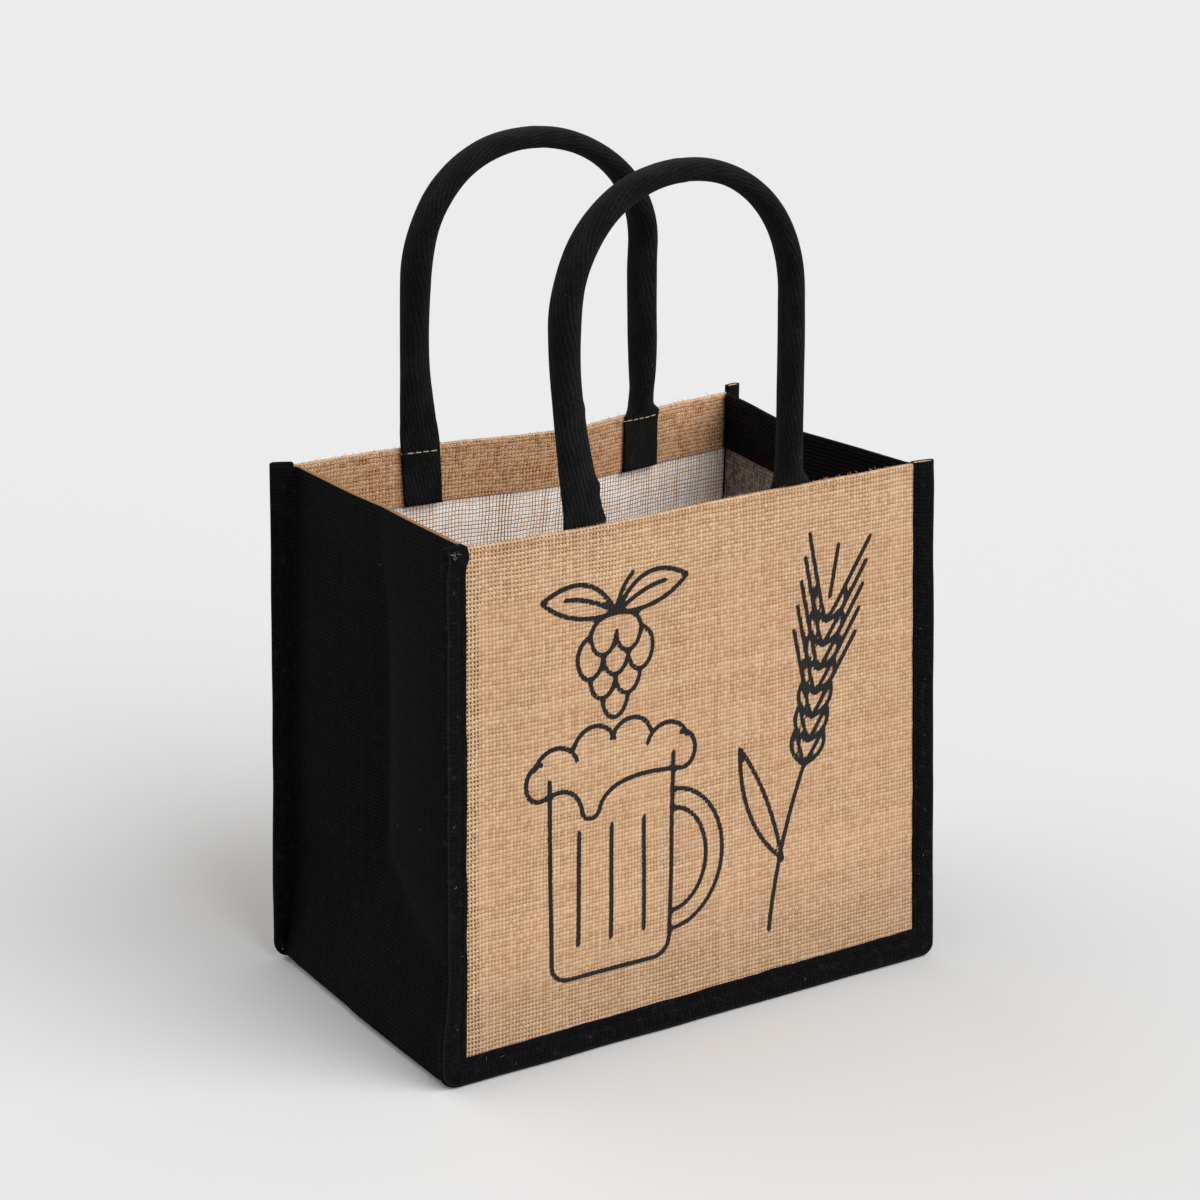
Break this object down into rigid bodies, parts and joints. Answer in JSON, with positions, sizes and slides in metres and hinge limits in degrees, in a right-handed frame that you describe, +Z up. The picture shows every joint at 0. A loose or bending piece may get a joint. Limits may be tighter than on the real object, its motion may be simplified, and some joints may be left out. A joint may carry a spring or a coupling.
{
  "type": "bottle carrier",
  "caption": "Stand-up jute bottle bag with natural front and back, black bound gussets, padded webbing loop handles and a lift-out divider.",
  "frame": {"origin": "middle of the flat base, on the surface that the bag stands on", "axes": "+X along the front to the right as seen from the front, front faces -Y, +Z up"},
  "size_m": [0.254, 0.1512, 0.38],
  "materials": {
    "natural_jute": "matte",
    "black_jute": "matte",
    "black_binding": "matte",
    "black_webbing": "matte",
    "cotton_core": "matte",
    "divider_board": "matte"
  },
  "bodies": {
    "bag": {"front_panel": "natural_jute", "back_panel": "natural_jute", "gusset_strip": "black_jute", "front_binding": "black_binding", "back_binding": "black_binding", "front_handle_left_tab": "black_webbing", "front_handle_right_tab": "black_webbing", "back_handle_left_tab": "black_webbing", "back_handle_right_tab": "black_webbing"},
    "front_handle": {"front_handle_sleeve": "black_webbing", "front_handle_core": "cotton_core"},
    "back_handle": {"back_handle_sleeve": "black_webbing", "back_handle_core": "cotton_core"},
    "divider": {"divider_long": "divider_board", "divider_cross_left": "divider_board", "divider_cross_right": "divider_board"}
  },
  "joints": [
    {"name": "front_handle_swing", "type": "hinge", "parent": "bag", "child": "front_handle", "pos_m": [0, -0.0694, 0.24], "axis": [1, 0, 0], "range_deg": [-26, 120]},
    {"name": "back_handle_swing", "type": "hinge", "parent": "bag", "child": "back_handle", "pos_m": [0, 0.0694, 0.24], "axis": [-1, 0, 0], "range_deg": [-19, 127]},
    {"name": "divider_lift", "type": "slide", "parent": "bag", "child": "divider", "axis": [0, 0, 1], "range_m": [0, 0.236]}
  ]
}
